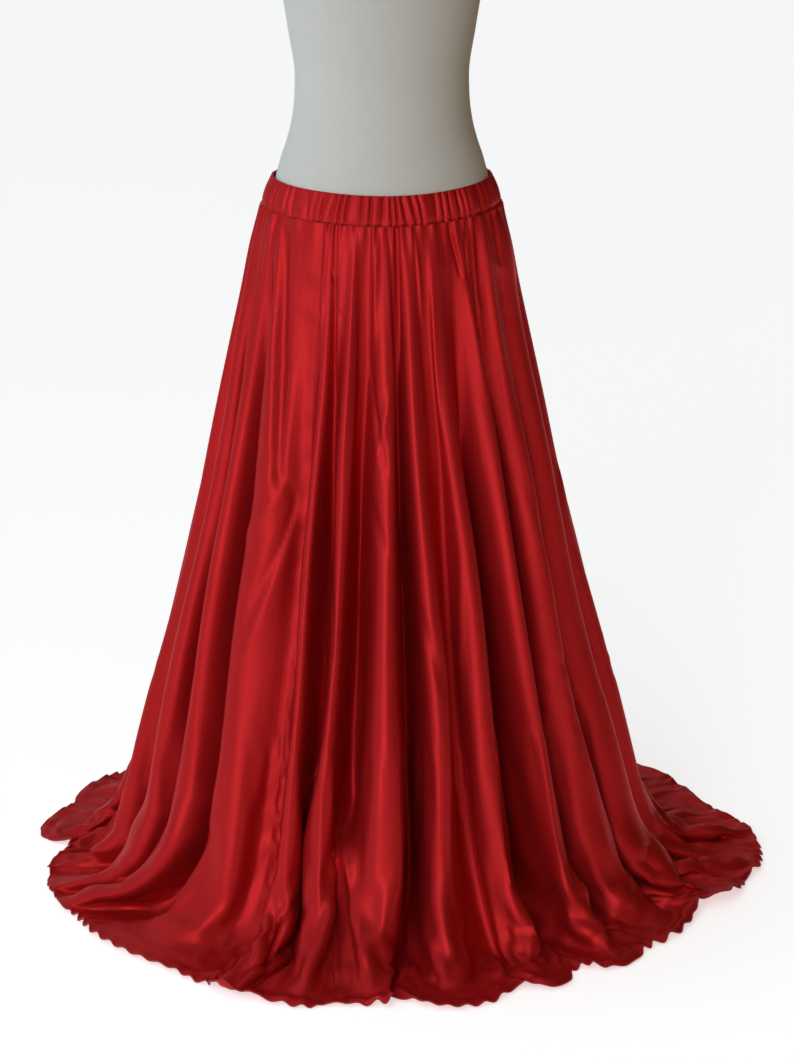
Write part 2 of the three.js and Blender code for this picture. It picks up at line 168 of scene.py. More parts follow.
def curve(x, y, slope, at):
    """A smooth curve through table values, with a slope given at each of them."""
    row = np.clip(np.searchsorted(x, at, side="right") - 1, 0, len(x) - 2)
    step = x[row + 1] - x[row]
    share = (at - x[row]) / step
    rest = 1 - share
    return (y[row] * (1 + 2 * share) * rest**2 + y[row + 1] * (3 - 2 * share) * share**2
            + step * (slope[row] * share * rest**2 - slope[row + 1] * share**2 * rest))


def section(name, down):
    """A column of the section table at distances down the cloth."""
    x, y = SECTIONS[:, 0], SECTIONS[:, SECTION_COLUMNS.index(name)]
    return curve(x, y, np.gradient(y, x), down)


def fold_row(index):
    """The fold table's row for folds counted round the skirt, by column name."""
    return dict(zip(FOLD_COLUMNS, np.moveaxis(FOLDS[index % FOLD_COUNT], -1, 0)))


def trough_angle(index, down):
    """Angle of a fold's trough: a soft curve through waist, knee and ankle, then the hem."""
    fold = fold_row(index)
    waist, knee, ankle, hem = (fold[name] for name in ("waist", "knee", "ankle", "hem"))
    share = np.minimum(down, ANKLE) / ANKLE
    middle = KNEE / ANKLE
    bend = (knee - mix(waist, ankle, middle)) / (middle * (1 - middle))
    hung = mix(waist, ankle, share) + bend * share * (1 - share)
    return hung + (hem - ankle) * ease((down - ANKLE) / (LENGTH - ANKLE))


def uneven(place, waves, more_waves):
    """A slow unevenness between -1 and 1 that closes on itself round the skirt."""
    turn = 2 * np.pi * place / FOLD_COUNT
    return 0.6 * np.sin(waves * turn) + 0.4 * np.sin(more_waves * turn + 2)


def waist_dip(angle, down):
    """How far the waist sits lower, most in front and nothing at the back."""
    front = (1 + np.cos(np.radians(angle))) / 2
    return WAIST_FRONT_DIP * front**2 * (1 - ease(down / KNEE))


def oval_radius(half_width, oval, angle):
    """Radius at an angle of an oval plan; oval is its depth against its width."""
    turn = np.radians(angle)
    return half_width / np.hypot(np.sin(turn), np.cos(turn) / oval)


def round_trip(difference):
    """A difference of places, taken the short way round the skirt."""
    return (difference + FOLD_COUNT / 2) % FOLD_COUNT - FOLD_COUNT / 2


# Where an arch of cloth stands up in the front of the puddle, over a filled trough
ARCH_PLACE, ARCH_WIDTH = 2.0, 0.95
ARCH_FROM, ARCH_FADE_IN = 670.0, 120.0
ARCH_TO, ARCH_FADE_OUT = 962.0, 50.0
ARCH_FILL = 0.75
ARCH_SMOOTH = 0.85  # how much of its smooth shape the cloth there keeps as it settles


def near_arch(place, down):
    beside = ease(np.abs(round_trip(place - ARCH_PLACE)) / ARCH_WIDTH)
    below = ease((down - ARCH_FROM) / ARCH_FADE_IN)
    return (1 - beside) * below * ease((ARCH_TO - down) / ARCH_FADE_OUT)


def hung_surface(place, down, arched=False):
    """The skirt's outer face as the fold table shapes it, in metres, before it settles.

    place counts folds round the skirt, with a trough at each whole number, and down is the
    distance down the cloth in millimetres."""
    index = np.floor(place).astype(int)
    share = place - index
    before, fold, following = (fold_row(index + i) for i in (-1, 0, 1))
    start = trough_angle(index, down)
    end = trough_angle(index + 1, down)
    end = np.where(end < start, end + 360, end)

    formed = ease(down / FORMED)
    lying = ease((down - ANKLE) / (LENGTH - ANKLE))
    steep = mix(STEEP_HUNG, STEEP_LYING, lying) * formed
    broad = mix(BROAD_HUNG, BROAD_LYING, lying) * formed
    turn = 2 * np.pi * share
    across = (share + steep * np.sin(2 * turn) / (4 * np.pi)
              - broad * np.sin(turn) / (2 * np.pi))
    rise = (1 - np.cos(turn)) / 2
    nearer = ease(share)
    deep, notch = (mix(fold[name], following[name], nearer) for name in ("deep", "notch"))
    lean = fold["lean"] * mix(1, LEAN_LYING, lying) * formed
    angle = mix(start, end, across) + lean * rise
    reach = fold["reach"]
    trough_reach = mix(before["reach"] + reach, reach + following["reach"], nearer) / 2
    crest = section("crest", down) + reach * lying
    hung = (section("crest", down) - section("trough", down)) * deep
    depth = mix(hung * mix(SHALLOW, 1, ease(down / SHALLOW_TO)), notch, lying)
    trough = section("crest", down) + trough_reach * lying - depth
    crest_z = section("crest_z", down) + (fold["arch"] - HEM_CREST_Z) * lying
    lowest = section("trough_z", down)
    hung_z = mix(section("crest_z", down), lowest, deep)
    trough_z = mix(hung_z, lowest, ease((down - ANKLE) / (GROUNDED - ANKLE)))
    if arched:
        filled = ARCH_FILL * near_arch(place, down)
        trough, trough_z = mix(trough, crest, filled), mix(trough_z, crest_z, filled)

    radius = oval_radius(mix(trough, crest, rise), section("oval", down), angle)
    height = mix(trough_z, crest_z, rise) - waist_dip(angle, down)
    turned = np.radians(angle)
    return MM * np.stack([
        radius * np.sin(turned),
        -radius * np.cos(turned) + section("sway", down),
        np.maximum(height, CLOTH_LIFT),
    ], axis=-1)


def grid_normals(points):
    """Outward normals of a grid: rows down the cloth, columns round it."""
    down = np.gradient(points, axis=0)
    along = np.gradient(points, axis=1)
    normal = np.cross(down, along)
    return normal / np.maximum(np.linalg.norm(normal, axis=-1, keepdims=True), 1e-12)


def ring_faces(high, wide, closed=True, turned=False):
    """Faces of a grid of points that closes round, and from its last row to its first.

    They face out where the rows go up and the columns anticlockwise, or in if turned."""
    at = np.arange(high * wide).reshape(high, wide)
    above, beside = np.roll(at, -1, axis=0), np.roll(at, -1, axis=1)
    corners = [at, beside, np.roll(above, -1, axis=1), above]
    faces = np.stack(corners[:1] + corners[:0:-1] if turned else corners, axis=-1)
    return (faces if closed else faces[:-1]).reshape(-1, 4).tolist()


EDGE_ANGLE = 72.0  # the cut edges of a wall are crisp


def mesh_object(name, vertices, faces, material=None, layers=None):
    """A smooth-shaded mesh at the origin; layers gives each UV map's values by vertex."""
    mesh = bpy.data.meshes.new(name)
    mesh.from_pydata(vertices.tolist(), [], faces)
    mesh.polygons.foreach_set("use_smooth", [True] * len(mesh.polygons))
    corners = np.empty(len(mesh.loops), dtype=np.int32)
    mesh.loops.foreach_get("vertex_index", corners)
    for layer_name, values in (layers or {}).items():
        layer = mesh.uv_layers.new(name=layer_name)
        layer.data.foreach_set("uv", values[corners].astype(np.float32).ravel())
    if material is not None:
        mesh.materials.append(material)
    mesh.set_sharp_from_angle(angle=math.radians(EDGE_ANGLE))
    piece = bpy.data.objects.new(name, mesh)
    bpy.context.scene.collection.objects.link(piece)
    return piece


# The cloth settles on the floor by simulation, below the place where it hangs free
SETTLE_FROM = 460.0
HELD_ABOVE = 560.0
FREE_BELOW = 760.0
SETTLE_COLUMNS = 16
SETTLE_ROWS = 52
SETTLE_FRAMES = 36
CLOTH_FULLNESS = 0.09  # the cloth grows by this share, so that it breaks into small folds
SETTLED_FROM, SETTLED_FULLY = 560.0, 740.0  # where the settled shape takes over
EVENED_FROM, EVENED_TIMES, EVENED_SHARE = 880.0, 2, 0.5  # then the hem's line is evened out
CLOTH_SETTINGS = {
    "quality": 6,
    "mass": 0.12,
    "tension_stiffness": 15,
    "compression_stiffness": 15,
    "shear_stiffness": 4,
    "bending_stiffness": 0.12,
    "tension_damping": 8,
    "compression_damping": 8,
    "air_damping": 2,
    "vertex_group_mass": "held",
    "pin_stiffness": 1.5,
    "shrink_min": -CLOTH_FULLNESS,
}
CONTACT_SETTINGS = {
    "collision_quality": 3,
    "distance_min": 0.0015,
    "use_self_collision": True,
    "self_distance_min": 0.0025,
    "self_friction": 8,
}
GROUND_SETTINGS = {"thickness_outer": 0.002, "cloth_friction": 12.0}


def set_all(target, settings):
    for name, value in settings.items():
        setattr(target, name, value)


def settled_cloth():
    """Drapes the lower cloth on the floor and returns its points as a grid."""
    columns = np.arange(FOLD_COUNT * SETTLE_COLUMNS) / SETTLE_COLUMNS
    rows = np.linspace(SETTLE_FROM, LENGTH, SETTLE_ROWS)
    place, down = np.meshgrid(columns, rows)
    start = hung_surface(place, down)
    high, wide = start.shape[:2]
    faces = ring_faces(high, wide, closed=False, turned=True)
    cloth = mesh_object("settling_cloth", start.reshape(-1, 3), faces)
    held = cloth.vertex_groups.new(name="held")
    for row, distance in enumerate(rows):
        weight = 1 - float(ease((distance - HELD_ABOVE) / (FREE_BELOW - HELD_ABOVE)))
        held.add(list(range(row * wide, (row + 1) * wide)), weight, "REPLACE")

    ground_points = np.array([(-2, -2, 0), (2, -2, 0), (2, 2, 0), (-2, 2, 0)], dtype=float)
    ground = mesh_object("settling_ground", ground_points, [(0, 1, 2, 3)])
    ground.modifiers.new("collision", "COLLISION")
    set_all(ground.collision, GROUND_SETTINGS)

    settle = cloth.modifiers.new("settle", "CLOTH")
    set_all(settle.settings, CLOTH_SETTINGS)
    set_all(settle.collision_settings, CONTACT_SETTINGS)
    settle.point_cache.frame_start = 1
    settle.point_cache.frame_end = SETTLE_FRAMES
    scene = bpy.context.scene
    for frame_number in range(1, SETTLE_FRAMES + 1):
        scene.frame_set(frame_number)
    evaluated = cloth.evaluated_get(bpy.context.evaluated_depsgraph_get())
    mesh = evaluated.to_mesh()
    points = np.empty(len(mesh.vertices) * 3)
    mesh.vertices.foreach_get("co", points)
    evaluated.to_mesh_clear()
    bpy.data.objects.remove(cloth)
    bpy.data.objects.remove(ground)
    scene.frame_set(1)
    points = points.reshape(high, wide, 3)
    near_hem = ease((rows - EVENED_FROM) / (LENGTH - EVENED_FROM))[:, None, None]
    for _ in range(EVENED_TIMES):
        beside = (np.roll(points, 1, axis=1) + np.roll(points, -1, axis=1)) / 2
        points = mix(points, beside, EVENED_SHARE * near_hem)
    return points


def cubic_shares(t):
    """Weights of the four neighbours for a smooth curve through grid points."""
    return (
        ((-0.5 * t + 1) * t - 0.5) * t,
        (1.5 * t - 2.5) * t * t + 1,
        ((-1.5 * t + 2) * t + 0.5) * t,
        (0.5 * t - 0.5) * t * t,
    )


def from_grid(grid, place, down):
    """Points of the settled grid at places round and distances down the cloth."""
    high, wide = grid.shape[:2]
    across = place * SETTLE_COLUMNS
    along = np.clip((down - SETTLE_FROM) / (LENGTH - SETTLE_FROM), 0, 1) * (high - 1)
    column, row = np.floor(across).astype(int), np.minimum(np.floor(along).astype(int), high - 2)
    column_shares = cubic_shares(across - column)
    row_shares = cubic_shares(along - row)
    total = 0
    for i, row_share in enumerate(row_shares):
        near = np.clip(row + i - 1, 0, high - 1)
        for j, column_share in enumerate(column_shares):
            weight = (row_share * column_share)[..., None]
            total = total + weight * grid[near, (column + j - 1) % wide]
    return total


# Soft ripples that run down the folds: how many go round the skirt, how many waves they
# drift sideways in a metre of cloth, where they start and how high they are in millimetres
RIPPLES = [
    (29, 1.9, 0.4, 2.4),
    (41, -1.6, 1.9, 1.8),
    (57, 2.1, 4.0, 0.8),
    (83, -2.3, 2.2, 0.3),
]
RIPPLED = 620.0  # they are at their full height from here down
RIPPLES_LYING = 0.6  # the share of it that goes again as the cloth comes to lie

# Creases, listed one by one: where each starts, folds round the skirt and millimetres down the
# cloth, where it ends, its width and its height. A negative height is a groove.
CREASES = [
    (24.02, 10, 24.62, 200, 12, 4),
    (24.40, 290, 24.88, 350, 4, -3),
    (24.50, 190, 24.70, 166, 3, -2.5),
    (24.75, 330, 24.30, 420, 5, 3),
    (0.35, 5, 0.25, 150, 6, 3),
    (0.62, 58, 1.00, 74, 3, -2),
    (0.98, 104, 1.36, 120, 3, -2),
    (1.15, 0, 1.05, 210, 8, 3),
    (1.55, 0, 1.42, 330, 6, 4),
    (1.80, 20, 1.75, 380, 9, -3),
    (2.10, 168, 2.60, 322, 4, -4),
    (2.30, 0, 2.25, 150, 5, 3.5),
    (2.62, 200, 2.30, 300, 5, 3),
    (2.75, 0, 2.62, 260, 7, 3),
    (2.20, 330, 2.55, 420, 5, -3),
    (3.15, 0, 3.10, 190, 5, -3),
    (3.55, 30, 3.40, 420, 10, 3.5),
    (3.90, 0, 3.95, 120, 5, 3),
    (4.35, 0, 4.28, 260, 6, 3),
    (4.70, 60, 4.60, 380, 9, -3),
    (5.02, 4, 5.36, 74, 4, -4),
    (5.80, 0, 5.44, 80, 4, -4),
    (5.45, 80, 5.50, 240, 5, 3),
    (6.20, 10, 6.05, 110, 5, -3),
    (6.45, 0, 6.35, 300, 6, 4),
    (6.80, 30, 6.60, 220, 6, 2.5),
    (22.55, 572, 23.50, 594, 5, -3),
    (22.30, 0, 22.60, 260, 7, 3),
    (23.30, 0, 23.40, 210, 6, 3),
    (22.80, 330, 23.10, 520, 8, -3),
    (1.30, 430, 1.55, 560, 7, -3),
    (3.35, 470, 3.62, 590, 7, -3),
    (4.40, 420, 4.20, 600, 8, 3),
    (5.70, 330, 5.55, 560, 8, -3),
    (2.95, 840, 3.25, 925, 15, 9),
    (3.38, 790, 3.62, 940, 18, 8),
    (4.40, 800, 4.70, 935, 18, 8),
    (5.30, 815, 6.30, 900, 17, 10),
    (5.60, 905, 5.20, 860, 14, 8),
    (6.05, 930, 6.60, 845, 15, 9),
    (6.90, 785, 8.35, 925, 22, 10),
    (7.20, 850, 8.60, 950, 18, 9),
    (24.46, 760, 24.52, 885, 20, -10),
    (24.52, 868, 23.55, 935, 18, -10),
    (23.50, 740, 23.62, 895, 26, 8),
    (0.25, 845, 0.80, 935, 16, 8),
    (0.95, 870, 0.55, 955, 14, 8),
    (1.10, 820, 1.30, 900, 15, 7),
]
CREASE_BLUNT, LAP_BLUNT = 0.7, 0.5  # the lower, the blunter the ends of a crease or a lap

# The arch of cloth in the front of the puddle: its two limbs, its top and the hollow under it
FRONT_ARCH = [
    (1.50, 950, 1.80, 785, 19, 13),
    (2.52, 950, 2.20, 785, 19, 13),
    (1.72, 800, 2.00, 768, 19, 10),
    (2.28, 800, 2.00, 768, 19, 10),
    (2.00, 800, 2.02, 950, 34, -10),
]

# Edges of cloth that laps over: each is raised on one side of its line and drops on the
# other, with a shallow groove beside the drop. A negative height turns it round.
LAPPED_EDGES = [
    (23.98, 6, 24.90, 345, 26, 6.5),
    (24.88, 352, 24.42, 560, 20, -3),
]
LAP_DROP = 2.6
LAP_GROOVE, LAP_GROOVE_ASIDE, LAP_GROOVE_WIDTH = 1.0, 6.5, 4.5

FAR_SIDES = ((8.6, 1.0), (15.2, 0.85))  # the same creases further round, and their height

# Puckers where the panels are sewn: distances down the cloth, in millimetres
PUCKERS = (70, 118, 150, 192, 243, 286, 322, 369, 411, 447, 507, 560, 612, 655, 693, 730, 768, 815)
PUCKER_HEIGHT, PUCKER_LENGTH, PUCKER_WIDTH = 2.6, 9.0, 13.0
PUCKER_SLANT = 0.35
SEAM_DEPTH, SEAM_WIDTH = 0.25, 3.0

# Gathers below the casing: the least and most height, and how far down they reach
GATHERS = 64
GATHER_HEIGHTS = (1.4, 4.6)
GATHER_REACHES = (16.0, 80.0)
GATHER_SHARPNESS = 1.5

# Waves of the stretched hem
HEM_WAVES = 112
HEM_WAVE_HEIGHT = 5.5
HEM_WAVE_OUTWARD = 2.4
HEM_WAVE_REACH = 15.0
HEM_WAVE_SHIFT = 0.45  # how unevenly they follow each other, in waves
HEM_SWELL, HEM_SWELL_UNEVEN, HEM_SWELL_LEAST = 0.5, 0.7, 0.08  # and how high each stands

HEM_SPREAD = 0.022  # the cloth draws in a little while it settles, and is laid out again
SMOOTH_SWEEP_PLACE, SMOOTH_SWEEP_WIDTH = 23.2, 3.2  # the broad sweep on the wearer's right
SMOOTH_SWEEP = 0.7  # how much it keeps of its smooth shape


def chance(number):
    """An even spread of values between 0 and 1, one for each whole number."""
    return np.modf(np.abs(np.sin(number * 12.9898 + 4.1) * 43758.5453))[0]


def cloth_width(down):
    """Millimetres of cloth from one fold's trough to the next, in the flat cut."""
    return 2 * np.pi * (CUT_INNER_RADIUS / MM + down) / FOLD_COUNT


def beside_line(place, down, row, turn, blunt):
    """Millimetres to the side of a crease's line, and the taper of its height at its ends."""
    start_place, start, end_place, end = row[:4]
    along = end - start
    drift = (end_place - start_place) * cloth_width((start + end) / 2)
    aside = round_trip(place - start_place - turn) * cloth_width(down)
    length = math.hypot(along, drift)
    share = ((down - start) * along + aside * drift) / length**2
    across = (aside * along - (down - start) * drift) / length
    return across, np.sin(np.pi * np.clip(share, 0, 1)) ** blunt


def crease_relief(place, down, row, turn, strength):
    width, height = row[4:]
    across, taper = beside_line(place, down, row, turn, CREASE_BLUNT)
    return strength * height * taper * np.exp(-(across / width) ** 2)


def lapped_relief(place, down, row, turn, strength):
    width, height = row[4:]
    across, taper = beside_line(place, down, row, turn, LAP_BLUNT)
    across = across * math.copysign(1, height)
    reach = np.where(across < 0, width, LAP_DROP)
    groove = LAP_GROOVE * np.exp(-((across - LAP_GROOVE_ASIDE) / LAP_GROOVE_WIDTH) ** 2)
    return strength * abs(height) * taper * (np.exp(-(across / reach) ** 2) - groove)


def gather_relief(place, down):
    position = place * GATHERS / FOLD_COUNT
    which = np.floor(position)
    height = mix(*GATHER_HEIGHTS, chance(which % GATHERS))
    reach = mix(*GATHER_REACHES, chance(which % GATHERS + 90) ** 2)
    wave = ((1 - np.cos(2 * np.pi * (position - which))) / 2) ** GATHER_SHARPNESS
    return height * wave * np.exp(-down / reach)


def pucker_relief(place, down):
    relief = 0
    for seam in PANEL_STARTS:
        aside = round_trip(place - seam) * cloth_width(down)
        near = np.exp(-(aside / PUCKER_WIDTH) ** 2)
        relief = relief - SEAM_DEPTH * np.exp(-(aside / SEAM_WIDTH) ** 2)
        for number, middle in enumerate(PUCKERS):
            size = PUCKER_HEIGHT * (0.5 + chance(number + 7 * seam))
            above = (down - middle - PUCKER_SLANT * aside) / PUCKER_LENGTH
            relief = relief + size * near * np.exp(-above ** 2)
    return relief


def small_relief(place, down):
    """How far the small waves and creases stand out from the folds, in millimetres."""
    lying = ease((down - ANKLE) / (LENGTH - ANKLE))
    relief = 0
    for count, turn, start, height in RIPPLES:
        phase = 2 * np.pi * (count * place / FOLD_COUNT + turn * down * MM) + start
        relief = relief + height * np.sin(phase)
    relief = relief * ease(down / RIPPLED) * (1 - RIPPLES_LYING * lying)
    for row in CREASES + FRONT_ARCH:
        relief = relief + crease_relief(place, down, row, 0, 1)
    for turn, strength in FAR_SIDES:
        for row in CREASES:
            relief = relief + crease_relief(place, down, row, turn, strength)
    for turn, strength in ((0, 1), *FAR_SIDES):
        for row in LAPPED_EDGES:
            relief = relief + lapped_relief(place, down, row, turn, strength)
    return relief + gather_relief(place, down) + pucker_relief(place, down)


SETTLED = settled_cloth()


def draped_surface(place, down):
    """The skirt's outer face once it has settled, without its small waves, in metres."""
    points = hung_surface(place, down, arched=True)
    if SETTLED is not None:
        aside = np.abs(round_trip(place - SMOOTH_SWEEP_PLACE)) / SMOOTH_SWEEP_WIDTH
        share = 1 - SMOOTH_SWEEP * (1 - ease(aside))
        share = share * (1 - ARCH_SMOOTH * near_arch(place, down))
        settled = (share * ease((down - SETTLED_FROM) / (SETTLED_FULLY - SETTLED_FROM)))[..., None]
        points = mix(points, from_grid(SETTLED, place, down), settled)
    lying = ease((down - ANKLE) / (LENGTH - ANKLE))[..., None]
    points[..., :2] *= 1 + HEM_SPREAD * lying
    return points


def waves_along_hem(samples=64):
    """Waves counted along the hem's real length, at even steps of place."""
    place = np.arange(FOLD_COUNT * samples + 1) / samples
    hem_line = draped_surface(place, np.full(place.shape, LENGTH))
    run = np.cumsum(np.linalg.norm(np.diff(hem_line, axis=0, prepend=hem_line[:1]), axis=1))
    return place, run / run[-1] * HEM_WAVES


WAVE_TABLE = waves_along_hem()


def skirt_surface(place, down):
    """The draped cloth with its creases, gathers and the waves of its hem, in metres."""
    points = draped_surface(place, down)
    points = points + grid_normals(points) * (small_relief(place, down) * MM)[..., None]
    count = np.interp(place % FOLD_COUNT, *WAVE_TABLE)
    wave = np.sin(2 * np.pi * (count + HEM_WAVE_SHIFT * uneven(place, 29, 13)))
    swell = np.maximum(HEM_SWELL + HEM_SWELL_UNEVEN * uneven(place, 21, 8), HEM_SWELL_LEAST)
    near_hem = np.exp(-(LENGTH - down) / HEM_WAVE_REACH)
    size = (swell * near_hem * MM)[..., None]
    wave = wave[..., None]
    outward = points * (1, 1, 0)
    outward = outward / np.linalg.norm(outward, axis=-1, keepdims=True)
    points = points - outward * size * wave * HEM_WAVE_OUTWARD
    points[..., 2:] += size * (1 + wave) / 2 * HEM_WAVE_HEIGHT
    points[..., 2] = np.maximum(points[..., 2], CLOTH_LIFT * MM)
    return points


CLOTH_WALL = 1.2 * MM
UNDERSIDE = 0.3 * MM  # the lowest that the inner face lies
COLUMNS_PER_FOLD = 36
HEM_COLUMNS = 3  # the hem's columns in each of the cloth's
ROWS = np.concatenate([
    np.linspace(0, 120, 30)[:-1],
    np.linspace(120, 700, 58)[:-1],
    np.linspace(700, 950, 38),
])
HEM_ROWS = np.array([956, 962, 968, 972.5, 976, 978.5, LENGTH])


def cut_uv(place, down):
    """Where a point of the cloth was in the flat cut, in metres."""
    turn = 2 * np.pi * place / FOLD_COUNT
    radius = CUT_INNER_RADIUS + down * MM
    return np.stack([radius * np.cos(turn), radius * np.sin(turn)], axis=-1)


def run_uv(place, down):
    """Folds round the skirt and metres down it, for what follows the folds."""
    return np.stack([place, down * MM], axis=-1)


def cloth_sides(place, down):
    """A grid's outer and inner faces, without the grid's two outermost columns."""
    outer = skirt_surface(place, down)
    inner = outer - grid_normals(outer) * CLOTH_WALL
    inner[..., 2] = np.maximum(inner[..., 2], UNDERSIDE)
    return outer[:, 1:-1], inner[:, 1:-1]


def skirt_panel(name, first, count, material):
    """A panel: a wall of cloth, finer round the waves of its hem."""
    wide = count * COLUMNS_PER_FOLD
    place, down = np.meshgrid(np.arange(-1, wide + 2) / COLUMNS_PER_FOLD + first, ROWS)
    outer, inner = cloth_sides(place, down)
    fine_wide = wide * HEM_COLUMNS
    fine_rows = np.concatenate([ROWS[-1:], HEM_ROWS])
    fine_columns = np.arange(-1, fine_wide + 2) / (COLUMNS_PER_FOLD * HEM_COLUMNS) + first
    fine_place, fine_down = np.meshgrid(fine_columns, fine_rows)
    fine_outer, fine_inner = (side[1:] for side in cloth_sides(fine_place, fine_down))

    grids = (outer, fine_outer, inner, fine_inner)
    starts = np.cumsum([0] + [grid.shape[0] * grid.shape[1] for grid in grids])
    a, fine_a, b, fine_b = (
        np.arange(grid.shape[0] * grid.shape[1]).reshape(grid.shape[:2]) + start
        for grid, start in zip(grids, starts)
    )
    faces = []

    def add(*corners):
        faces.extend(np.stack(corners, axis=-1).reshape(-1, len(corners)).tolist())

    for at, under in ((a, b), (fine_a, fine_b)):
        add(at[:-1, :-1], at[1:, :-1], at[1:, 1:], at[:-1, 1:])
        add(under[:-1, :-1], under[:-1, 1:], under[1:, 1:], under[1:, :-1])
        add(at[:-1, 0], under[:-1, 0], under[1:, 0], at[1:, 0])
        add(at[:-1, -1], at[1:, -1], under[1:, -1], under[:-1, -1])
    add(a[0, :-1], a[0, 1:], b[0, 1:], b[0, :-1])
    add(fine_a[-1, :-1], fine_b[-1, :-1], fine_b[-1, 1:], fine_a[-1, 1:])
    for coarse, fine, outwards in ((a[-1], fine_a[0], True), (b[-1], fine_b[0], False)):
        left, right = coarse[:-1], coarse[1:]
        f0, f1, f2 = fine[:-1:HEM_COLUMNS], fine[1::HEM_COLUMNS], fine[2::HEM_COLUMNS]
        f3 = fine[HEM_COLUMNS::HEM_COLUMNS]
        for corners in ((left, f0, f1), (left, f1, f2, right), (right, f2, f3)):
            add(*(corners if outwards else corners[::-1]))
    add(a[-1, :1], b[-1, :1], fine_b[0, :1], fine_a[0, :1])
    add(a[-1, -1:], fine_a[0, -1:], fine_b[0, -1:], b[-1, -1:])

    points = np.concatenate([grid.reshape(-1, 3) for grid in grids])
    coarse_at = (place[:, 1:-1], down[:, 1:-1])
    fine_at = (fine_place[1:, 1:-1], fine_down[1:, 1:-1])
    layers = {}
    for layer, uv in (("cut", cut_uv), ("run", run_uv)):
        both = [uv(*coarse_at).reshape(-1, 2), uv(*fine_at).reshape(-1, 2)]
        layers[layer] = np.concatenate(both * 2)
    return mesh_object(name, points, faces, material, layers)


def tube(name, path, radius, sides, material):
    """A closed ring of tube along a closed path of points."""
    ahead = np.roll(path, -1, axis=0) - np.roll(path, 1, axis=0)
    ahead /= np.linalg.norm(ahead, axis=1, keepdims=True)
    aside = np.cross(ahead, (0, 0, 1))
    aside /= np.linalg.norm(aside, axis=1, keepdims=True)
    above = np.cross(aside, ahead)
    turns = 2 * np.pi * np.arange(sides) / sides
    ring = aside[:, None] * np.cos(turns)[:, None] + above[:, None] * np.sin(turns)[:, None]
    points = path[:, None] + radius * ring
    faces = ring_faces(len(path), sides, turned=True)
    run = np.cumsum(np.linalg.norm(np.diff(path, axis=0, prepend=path[:1]), axis=1))
    along = np.repeat(run, sides)
    around = np.tile(np.arange(sides) / sides, len(path))
    return mesh_object(name, points.reshape(-1, 3), faces, material,
                       {"run": np.stack([along, around], axis=-1)})


HEM_EDGE_RADIUS = 1.15 * MM
HEM_EDGE_SIDES = 8


def rolled_hem(material):
    """The hem's edge, rolled tight under close stitches."""
    count = FOLD_COUNT * COLUMNS_PER_FOLD * HEM_COLUMNS
    place = np.arange(-1, count + 1) / (COLUMNS_PER_FOLD * HEM_COLUMNS)
    place, down = np.meshgrid(place, HEM_ROWS[-3:])
    path = skirt_surface(place, down)[-1, 1:-1]
    path[:, 2] = np.maximum(path[:, 2] - CLOTH_WALL / 2, HEM_EDGE_RADIUS + UNDERSIDE)
    return tube("rolled_hem", path, HEM_EDGE_RADIUS, HEM_EDGE_SIDES, material)


# Casing: the gathered tube of cloth over the elastic, in millimetres
BAND_BOTTOM = SECTIONS[0, 2] + 0.3
BAND_HEIGHT = 36.0
BAND_HALF_WIDTHS = (SECTIONS[0, 1], 138.5)  # at its lower edge and at its fold
BAND_BULGE = 1.5
BAND_WALL = 2.6
BAND_TUCK_DEPTHS = (3.4, 5.8)
BAND_TUCK_LEVEL = 0.75  # the share of a tuck's depth that lies inside the casing's own line
BAND_PILLOW = 0.8  # the lower, the rounder the cloth between two tucks
BAND_COLUMNS = GATHERS * 16
BAND_SHARES = np.array([0, 0.03, 0.08, 0.15, 0.25, 0.37, 0.5, 0.63, 0.75, 0.85, 0.93, 0.98, 1])
BAND_STITCH_SHARE, BAND_STITCH_WIDTH, BAND_STITCH_PULL = 0.09, 0.035, 1.3
BAND_EDGE_SHARE, BAND_EDGE_FRILL = 0.05, 1.2
BAND_RAGGED_SHARE, BAND_RAGGED = 0.2, 0.8
BAND_TOP_STEPS = 6  # rows of the rounded fold on top


def band_tucks(turn, share):
    """Depth of the casing's gathers: rounded pillows with narrow tucks between them."""
    slant = 0.35 * np.sin(5 * turn + 1) + 0.2 * np.sin(11 * turn)
    position = GATHERS * turn / (2 * np.pi) + 0.3 * np.sin(9 * turn) + 0.18 * np.sin(23 * turn + 1)
    position = position + slant * (share - 0.5)
    which = np.floor(position)
    depth = mix(*BAND_TUCK_DEPTHS, chance(which % GATHERS + 31))
    pillow = np.abs(np.sin(np.pi * (position - which))) ** BAND_PILLOW
    fullness = 0.55 + 0.45 * np.sin(np.pi * np.clip(share, 0.1, 0.9))
    return depth * (pillow - BAND_TUCK_LEVEL) * fullness


def band_point(turn, share, inset=0.0):
    """A point of the casing at a turn round it and a share of its height, in metres.

    inset is 0 on the outer face and 1 on the inner one."""
    angle = np.degrees(turn)
    across = mix(*BAND_HALF_WIDTHS, share) + BAND_BULGE * np.sin(np.pi * share)
    stitched = np.exp(-((share - BAND_STITCH_SHARE) / BAND_STITCH_WIDTH) ** 2) * BAND_STITCH_PULL
    frill = BAND_EDGE_FRILL * ease(1 - share / BAND_EDGE_SHARE)
    outside = (band_tucks(turn, share) - stitched + frill) * (1 - inset)
    across = across + outside - BAND_WALL * inset
    radius = oval_radius(across, section("oval", 0.0), angle)
    top_fall = 0.5 * BAND_WALL * (1 - np.sqrt(np.maximum(1 - (2 * inset - 1) ** 2, 0)))
    ragged = BAND_RAGGED * np.sin(37 * turn + 2 * np.sin(11 * turn))
    ragged = ragged * ease(1 - share / BAND_RAGGED_SHARE)
    z = BAND_BOTTOM + BAND_HEIGHT * share - waist_dip(angle, 0.0) + ragged
    z = z - top_fall * (share > 0.99)
    sway = section("sway", 0.0)
    return MM * np.stack([radius * np.sin(turn), -radius * np.cos(turn) + sway, z], axis=-1)


